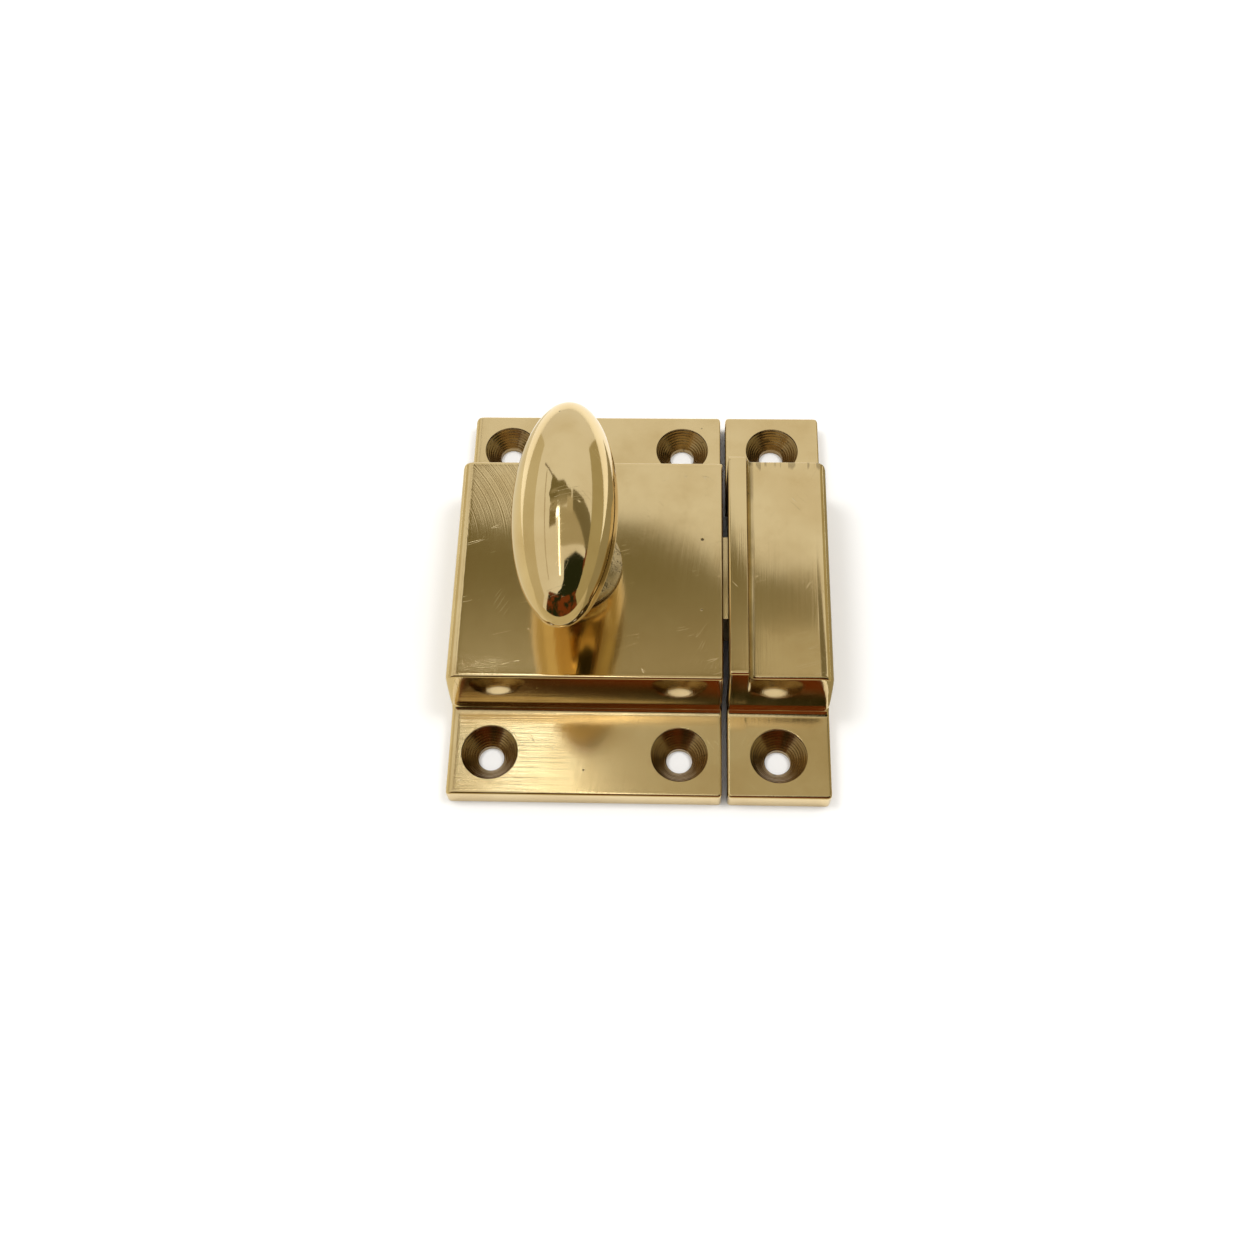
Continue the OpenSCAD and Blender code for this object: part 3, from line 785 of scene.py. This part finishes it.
class LATCH_OT_knob(bpy.types.Operator):
    """Cast knob: oval grip drawn down into a waisted neck with a flared foot"""
    bl_idname = "latch.knob"
    bl_label = "Knob"

    def execute(self, context):
        k, look = context.scene.latch_knob, context.scene.latch_finish
        a, b, c = k.grip_d/2, (KNOB_HI[1] - KNOB_LO[1])/2, k.grip_d/2
        centre_z = KNOB_HI[2] - c
        turns = 192
        theta = np.linspace(0, 2*np.pi, turns, endpoint=False)[None, :]
        cos, sin = np.cos(theta), np.sin(theta)
        waist, fillet = k.waist_d/2, k.fillet
        # Upper half: an ellipsoid in even steps of latitude, closed at its pole
        up = np.radians(np.linspace(0, 90, 56))[:, None]
        top = np.stack([a*np.sin(up)*cos, b*np.sin(up)*sin,
                        np.broadcast_to(c*np.cos(up), (len(up), turns))], -1)
        # Lower half: the plan shrinks evenly from the oval to a circle at the fillet
        w = 1 - np.cos(np.radians(np.linspace(0, 90, 50)))[1:, None]
        ring = waist + fillet
        px, py = (1 - w)*a*cos + w*ring*cos, (1 - w)*b*sin + w*ring*sin
        pz = -c*np.sqrt(np.maximum(1 - (px/a)**2 - (py/b)**2, 0))
        low = np.stack([px, py, pz], -1)
        # Fillet: a hollow quarter round from the grip down to the waist
        q = np.radians(np.linspace(0, 90, 10))[1:, None]
        r = ring - fillet*np.sin(q)
        join = np.stack([r*cos, r*sin, pz[-1:] - fillet*(1 - np.cos(q))], -1)
        # Neck: straight down, then a hollow quarter round out to the foot
        flare = (k.foot_d - k.waist_d)/2
        foot_z = KNOB_LO[2] - centre_z
        flare_z = foot_z + k.foot_t + flare
        t = np.linspace(0, 1, 9)[1:, None]
        neck = np.stack([np.broadcast_to(waist*cos, (8, turns)), np.broadcast_to(waist*sin, (8, turns)),
                         join[-1:, :, 2]*(1 - t) + flare_z*t], -1)
        q = np.radians(np.linspace(180, 264, 22))[1:]
        rim = 0.12*MM
        outline = [*zip(k.foot_d/2 + flare*np.cos(q), flare_z + flare*np.sin(q)),
                   *arc((k.foot_d/2 - rim, foot_z + k.foot_t - rim), rim, 84, 0, 6),
                   *arc((k.foot_d/2 - rim, foot_z + rim), rim, 0, -90, 6), (0, foot_z)]
        pr, ph = np.array(outline).T[:, :, None]
        foot = np.stack([pr*cos, pr*sin, np.broadcast_to(ph, (len(pr), turns))], -1)
        points = np.concatenate([top, low, join, neck, foot])
        points = self.dented(points, k.dent, c) + np.array([SPINDLE_X, 0, centre_z])
        piece = new_piece("knob_casting", points, grid_quads(len(points), turns, wrap_cols=True), 50)
        bore = [(0, KNOB_LO[2] - MM), (k.bore_d/2, KNOB_LO[2] - MM),
                (k.bore_d/2, SPINDLE_HI[2]), (0, SPINDLE_HI[2])]
        cut(piece, [revolve(bore, (SPINDLE_X, 0, 0))])
        smooth(piece, 50)

        def pitting(f):
            """Corrosion pits and dark deposit round the neck's foot; there the colour also darkens
            towards the neck's +x side.
            """
            x, _, z = f.axes()
            near_foot = z.below(KNOB_LO[2]/MM + 2.5, 3.0)
            pitted = f.noise(3600.0, 3.0, 0.0, (0, 0, 0), 0.7).above(0.47, 0.10)
            stained = f.noise(700.0, 3.0, 0.0, (0.2, 0.5, 0.1)).above(0.36, 0.2)
            # Near its foot the neck also darkens evenly towards its +x side, up to 0.42
            toward = (x - SPINDLE_X/MM).above(0.5, 3.0)*0.42
            darkening = (pitted*stained).at_least(toward)
            return near_foot*darkening*0.95, near_foot*stained*0.08, pitted*near_foot*-0.8

        paint(piece, [polished_brass("knob_brass", look, look.knob_gloss, 0.0, 0.25, 0.35, pitting)])
        declare(piece, "knob", "knob_brass", "knob")
        return {"FINISHED"}

    # Where the dents are: x, y and radius in millimetres from the knob's axis
    DENTS = ((-0.9, -1.4, 0.45), (-0.9, -3.3, 0.28), (1.0, 7.5, 0.3), (2.4, -2.2, 0.22))

    @classmethod
    def dented(cls, points, depth, c):
        """Presses small round dents into the top: depth times a bell curve about each spot."""
        out = points.copy()
        for x, y, radius in cls.DENTS:
            gap = np.hypot(points[..., 0] - x*MM, points[..., 1] - y*MM)/(radius*MM)
            out[..., 2] -= np.where(points[..., 2] > c*0.4, depth*np.exp(-gap**2), 0)
        return out


class LATCH_OT_bolt(bpy.types.Operator):
    """Sliding bolt: bevelled head and slotted tail with broken edges"""
    bl_idname = "latch.bolt"
    bl_label = "Bolt"

    def execute(self, context):
        look = context.scene.latch_finish
        piece = softened("bolt", 0.22*MM)
        paint(piece, [polished_brass("bolt_brass", look, 0.22, math.pi/2, 1.6, 1.2)])
        declare(piece, "bolt", "bolt_brass", "bolt")
        return {"FINISHED"}


class LATCH_OT_back(bpy.types.Operator):
    """Back plate and its two small screws"""
    bl_idname = "latch.back"
    bl_label = "Back plate"

    def execute(self, context):
        look = context.scene.latch_finish
        plate = softened("back_plate", 0.10*MM)
        paint(plate, [polished_brass("plate_brass", look, 0.30, math.pi/2, 2.2, 1.5)])
        declare(plate, "case", "plate_brass", "back_plate")
        screws = softened("plate_screws", 0.05*MM)
        paint(screws, [bright_steel("screw_steel", look.steel, 0.24)])
        declare(screws, "case", "steel", "plate_screws")
        return {"FINISHED"}


class LATCH_OT_works(bpy.types.Operator):
    """Inner works: spindle, cam lever, drive pin, washer, guide rod and coil spring"""
    bl_idname = "latch.works"
    bl_label = "Inner works"

    def execute(self, context):
        look = context.scene.latch_finish
        steel = bright_steel("turned_steel", look.steel, 0.22, math.pi/2)
        lever = polished_brass("lever_brass", look, 0.28, 0.4, 1.8, 1.2)
        for node, body, slot, material, width in (
                ("spindle", "knob", "steel", steel, 0.12), ("cam_pin", "knob", "steel", steel, 0.15),
                ("cam_lever", "knob", "plate_brass", lever, 0.15),
                ("cam_washer", "case", "steel", steel, 0.06),
                ("spring_rod", "case", "steel", steel, 0.2)):
            piece = softened(node, width*MM)
            paint(piece, [material])
            declare(piece, body, slot, node)
        self.coil(context.scene.latch_spring, look)
        return {"FINISHED"}

    @staticmethod
    def coil(s, look):
        """A round wire carried along a helix whose first and last turns lie closed: the pitch
        eases from one wire diameter to the open pitch over a quarter turn."""
        centre = (np.array(SPRING_LO) + np.array(SPRING_HI))/2
        mean = (SPRING_HI[1] - SPRING_LO[1] - s.wire_d)/2
        turn = np.linspace(0, s.turns, s.turns*36 + 1)
        rate = np.clip((turn - 0.9)/0.25, 0, 1)*np.clip((s.turns - 0.9 - turn)/0.25, 0, 1)
        run = SPRING_HI[0] - SPRING_LO[0] - s.wire_d
        closed = s.wire_d*1.04
        opened = np.concatenate([[0], np.cumsum((rate[1:] + rate[:-1])/2*np.diff(turn))])
        x = SPRING_LO[0] + s.wire_d/2 + closed*turn + opened/opened[-1]*(run - closed*s.turns)
        a = 2*np.pi*turn[:, None]
        around = np.linspace(0, 2*np.pi, 14, endpoint=False)[None, :]
        r = mean + s.wire_d/2*np.cos(around)
        points = np.stack([x[:, None] + s.wire_d/2*np.sin(around), centre[1] + r*np.cos(a),
                           centre[2] + r*np.sin(a)], -1)
        rows, cols = points.shape[:2]
        faces = [*grid_quads(rows, cols, wrap_cols=True).tolist(), list(range(cols)),
                 list(range((rows - 1)*cols, rows*cols))]
        piece = new_piece("spring_coil", points, faces, 60)
        paint(piece, [bright_steel("spring_wire", look.spring, 0.26)])
        declare(piece, "case", "spring_steel", "bolt_spring")
        travel = next(j for j in frame["joints"] if j["name"] == "bolt_slide")["range_m"][1]
        1 - travel/(SPRING_HI[0] - SPRING_LO[0])
        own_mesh(piece)


class LATCH_OT_stage(bpy.types.Operator):
    """Pale floor, soft light, the room's dark and bright surfaces overhead, and the camera"""
    bl_idname = "latch.stage"
    bl_label = "Stage"

    @staticmethod
    def board(name, points, material):
        """One flat face, which is no part of the latch."""
        mesh = bpy.data.meshes.new(name)
        mesh.from_pydata(points, [], [list(range(len(points)))])
        made = bpy.data.objects.new(name, mesh)
        bpy.context.scene.collection.objects.link(made)
        made.data.materials.append(material)
        return made

    def card(self, name, corners, z, light, ease=0):
        """A flat card that only reflections see. Light is its colour or its material. Its outline
        joins the corners, given in millimetres like z, and is eased by cutting each corner at a
        quarter of its sides, ease times over."""
        rim = np.array(corners, dtype=float)
        for _ in range(ease):
            following = np.roll(rim, -1, 0)
            rim = np.stack([rim*0.75 + following*0.25, rim*0.25 + following*0.75], 1).reshape(-1, 2)
        made = self.board(name, np.column_stack([rim, np.full(len(rim), z)])*MM,
                          plain_glow(name, light) if isinstance(light, tuple) else light)
        made.visible_camera = made.visible_shadow = made.visible_diffuse = False
        return made

    def execute(self, context):
        scene, s = context.scene, context.scene.latch_stage
        # A white board 3 m across, just under the latch's back
        self.board("floor", [(x, y, -0.02*MM) for x, y in ((-1.5, -1.5), (1.5, -1.5), (1.5, 1.5),
                                                           (-1.5, 1.5))], pale_floor("floor_board"))
        self.room()
        self.light(scene, s)
        self.camera(scene, s)
        return {"FINISHED"}

    def room(self):
        """What the brass mirrors. Overhead: an olive shape, paler in its lower part, leaning over
        the latch, a bright window and its dark side to the left, the dark viewer behind the
        camera, a lamp and two thin frames. Round about: standing walls, and cards at the floor
        that paint the floor's reflection dimmer."""
        card, shade, rust = self.card, (0.020, 0.024, 0.010), (0.17, 0.045, 0.012)
        card("olive_shape", [(-150, 104), (-150, 235), (-84, 196), (-60, 183), (-2, 184), (20, 173),
                             (38, 161), (84, 159), (86, 138), (42, 134), (36, 104)], 312,
             graded_glow("olive_shape", (0.42, 0.375, 0.27), (0.190, 0.160, 0.076), 108, 160), 1)
        card("olive_far", [(110, 70), (100, 172), (474, 205), (815, 125), (500, 20)], 322,
             (0.20, 0.175, 0.105))
        card("pale_shape", [(-34, -4), (-36, 104), (110, 108), (420, 40), (40, -4)], 318,
             (0.46, 0.415, 0.30))
        card("window", [(-70, 80), (-72, 114), (-38, 112), (-34, 80)], 320,
             plain_glow("window", (0.92, 1.0, 1.12), 3.6))
        card("window_side", [(-150, 60), (-150, 116), (-72, 116), (-70, 60)], 320,
             (0.24, 0.20, 0.11))
        card("pale_end", [(40, 96), (40, 134), (100, 138), (110, 96)], 311, (0.52, 0.47, 0.35))
        card("viewer", [(42, -8), (60, -180), (-60, -250), (-60, -300), (700, -300), (640, -20)],
             316, shade, 1)
        for name, corners, height in (
                ("viewer_arm", [(470, 60), (820, 110), (640, -120), (450, -90)], 312),
                ("viewer_knee", [(-300, -300), (-250, -238), (-60, -250), (60, -270), (60, -300)],
                 310)):
            card(name, corners, height, patchy_glow(name, shade, rust, 0.030), 1)
        card("lamp_strip", [(-40, 72), (-27, 72), (3, -108), (-8, -108)], 300,
             plain_glow("lamp_strip", (1.0, 0.98, 0.95), 4.0))
        card("frame_left", [(-335, 380), (-320, 380), (-62, 168), (-70, 165)], 324,
             (0.16, 0.13, 0.08))
        card("frame_side", [(-262, 300), (-246, 300), (-196, -150), (-210, -150)], 328,
             (0.50, 0.45, 0.36))
        # Standing walls are drawn flat: x, y, z become x, -z, y for one kind and z, x, y for the other
        for name, start, end in (("viewer_front", -20, 700), ("viewer_side", -300, -20)):
            card(name, [(start, 0), (end, 0), (end, 316), (start, 316)], 300,
                 patchy_glow(name, shade, rust, 0.045)
                 ).data.transform(Matrix.Rotation(math.pi/2, 4, "X"))
        stand = Matrix(((0, 0, 1, 0), (1, 0, 0, 0), (0, 1, 0, 0), (0, 0, 0, 1)))
        for name, place, colour in (("wall_left", -420, (0.62, 0.57, 0.43)),
                                    ("wall_right", 420, (0.44, 0.39, 0.24))):
            card(name, [(-300, 0), (560, 0), (560, 250), (-300, 250)], place, colour
                 ).data.transform(stand)
        # Painted reflection: cards at the floor, seen only in the brass, make the floor's reflection
        # dimmer than the white board itself
        card("dim_floor_reflection_left", [(-420, -90), (-21, -60), (-21, 60), (-420, 90)], 0.3, (0.80, 0.75, 0.60))
        card("dim_floor_reflection_right", [(37, -60), (420, -90), (420, 90), (37, 60)], 0.3, (0.34, 0.30, 0.19))
        card("dim_floor_reflection_front", [(-420, -300), (420, -300), (420, -90), (37, -34), (-21, -34),
                             (-420, -90)], 0.3, (0.62, 0.56, 0.40))

    @staticmethod
    def light(scene, s):
        """The pale room's own light and two soft lamps that no reflection shows."""
        world = bpy.data.worlds.new("room")
        world.use_nodes = True
        back = world.node_tree.nodes["Background"]
        back.inputs["Color"].default_value = (1.0, 0.975, 0.93, 1)
        back.inputs["Strength"].default_value = s.sky
        scene.world = world
        for name, place in (("left_light", (-0.32, 0.06, 0.75)), ("right_light", (0.34, 0.06, 0.75))):
            lamp = bpy.data.lights.new(name, "AREA")
            lamp.shape = "DISK"
            lamp.size, lamp.energy = s.lamp_size, s.lamp_power
            light = bpy.data.objects.new(name, lamp)
            light.location = place
            light.visible_glossy = False
            light.rotation_euler = (-Vector(place)).to_track_quat("-Z", "Y").to_euler()
            scene.collection.objects.link(light)

    @staticmethod
    def camera(scene, s):
        """Stands the camera at the chosen place and angles."""
        made = bpy.data.cameras.new("camera")
        made.sensor_width = 36
        made.lens = s.lens
        made.clip_start, made.clip_end = 0.01, 20
        camera = bpy.data.objects.new("camera", made)
        scene.collection.objects.link(camera)
        camera.matrix_world = Matrix.Translation(s.camera_at) @ (
            Matrix.Rotation(s.turn, 4, "Z") @ Matrix.Rotation(s.tilt, 4, "X")
            @ Matrix.Rotation(s.roll, 4, "Z"))
        scene.camera = camera
        scene.view_settings.view_transform = "Standard"


class LATCH_PT_panel(bpy.types.Panel):
    """The latch's pieces and sizes, in the sidebar"""
    bl_idname = "LATCH_PT_panel"
    bl_label = "Cupboard turn latch"
    bl_space_type = "VIEW_3D"
    bl_region_type = "UI"
    bl_category = "Latch"

    def draw(self, context):
        for step in STEPS:
            self.layout.operator(step.bl_idname)
        for name in GROUPS:
            box = self.layout.box()
            group = getattr(context.scene, name)
            for key in group.__annotations__:
                box.prop(group, key)


STEPS = (LATCH_OT_case, LATCH_OT_keeper, LATCH_OT_knob, LATCH_OT_bolt, LATCH_OT_back, LATCH_OT_works,
         LATCH_OT_stage)
GROUPS = {"latch_casting": LatchCasting, "latch_holes": LatchHoles, "latch_knob": LatchKnob,
          "latch_keeper": LatchKeeper, "latch_spring": LatchSpring, "latch_finish": LatchFinish,
          "latch_stage": LatchStage}


def register():
    for group in GROUPS.values():
        bpy.utils.register_class(group)
    for name, group in GROUPS.items():
        setattr(bpy.types.Scene, name, PointerProperty(type=group))
    for step in (*STEPS, LATCH_PT_panel):
        bpy.utils.register_class(step)


def unregister():
    for step in reversed((*STEPS, LATCH_PT_panel)):
        bpy.utils.unregister_class(step)
    for name, group in GROUPS.items():
        delattr(bpy.types.Scene, name)
        bpy.utils.unregister_class(group)


def main():
    """Builds every piece in order."""
    register()
    for step in STEPS:
        family, name = step.bl_idname.split(".")
        getattr(getattr(bpy.ops, family), name)()


if __name__ == "__main__":
    main()
